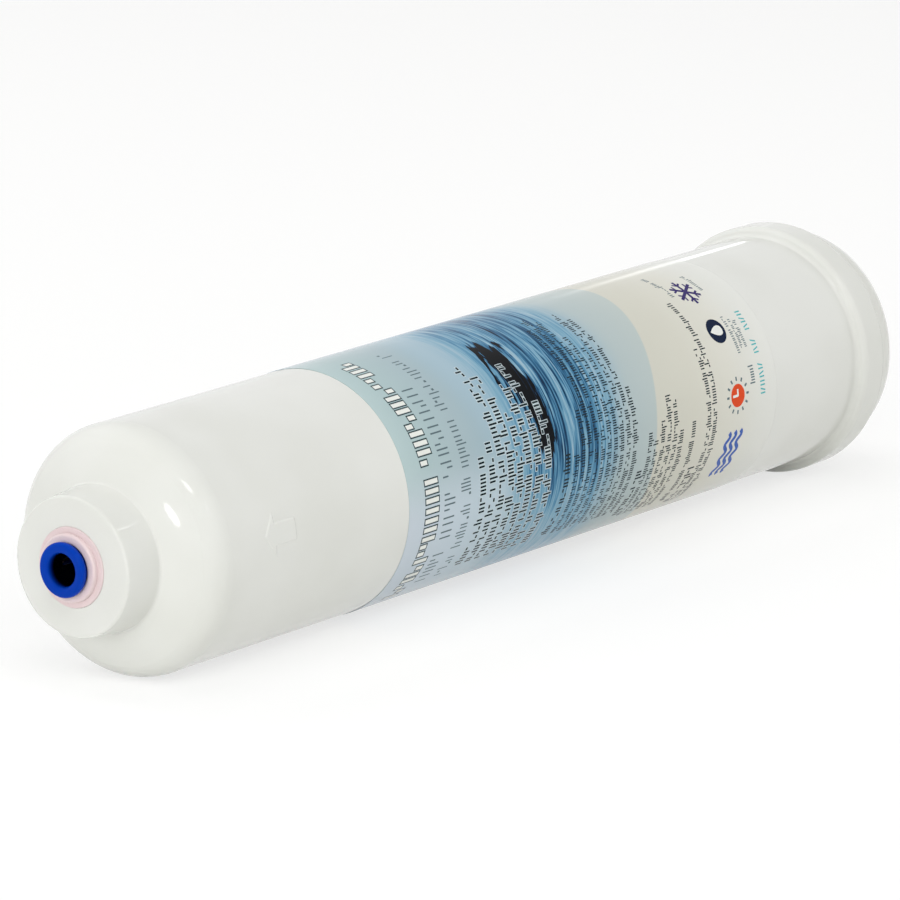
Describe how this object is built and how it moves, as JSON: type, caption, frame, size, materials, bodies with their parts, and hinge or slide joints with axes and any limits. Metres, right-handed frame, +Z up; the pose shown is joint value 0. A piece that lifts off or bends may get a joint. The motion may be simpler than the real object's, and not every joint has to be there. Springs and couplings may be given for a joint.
{
  "type": "inline refrigerator water filter",
  "caption": "Cylindrical inline water filter: a domed white housing with a welded cap, filter media inside, and a push-in tube fitting with a release collet at each end.",
  "frame": {"origin": "the middle of the filter, on its axis", "axes": "+X along the axis from the domed outlet end to the capped inlet end, +Z up, the flow arrow faces -Y"},
  "size_m": [0.2712, 0.055, 0.055],
  "materials": {
    "white_housing": "glossy moulded polypropylene",
    "label_film": "printed self-adhesive film",
    "pink_retainer": "smooth moulded acetal",
    "blue_collet": "smooth moulded acetal",
    "spring_steel": "stamped stainless steel",
    "white_spacer": "moulded polypropylene",
    "black_rubber": "moulded rubber",
    "steel_mesh": "fine woven wire",
    "white_felt": "needled fibre felt",
    "open_foam": "open-cell foam",
    "carbon_granules": "packed carbon granules"
  },
  "bodies": {
    "filter": {"housing": "white_housing", "end_cap": "white_housing", "label": "label_film", "outlet_retainer": "pink_retainer", "inlet_retainer": "pink_retainer", "outlet_backup_ring": "white_spacer", "inlet_backup_ring": "white_spacer", "outlet_o_ring": "black_rubber", "inlet_o_ring": "black_rubber", "outlet_grid": "white_spacer", "inlet_grid": "white_spacer", "outlet_mesh": "steel_mesh", "inlet_mesh": "steel_mesh", "outlet_felt": "white_felt", "inlet_felt": "white_felt", "foam_pad": "open_foam", "carbon_bed": "carbon_granules"},
    "outlet_release": {"outlet_collet": "blue_collet", "outlet_collet_teeth": "spring_steel"},
    "inlet_release": {"inlet_collet": "blue_collet", "inlet_collet_teeth": "spring_steel"}
  },
  "joints": [
    {"name": "outlet_collet_slide", "type": "slide", "parent": "filter", "child": "outlet_release", "axis": [1, 0, 0], "range_m": [-0.0011, 0.0005]},
    {"name": "inlet_collet_slide", "type": "slide", "parent": "filter", "child": "inlet_release", "axis": [-1, 0, 0], "range_m": [-0.0011, 0.0005]}
  ]
}
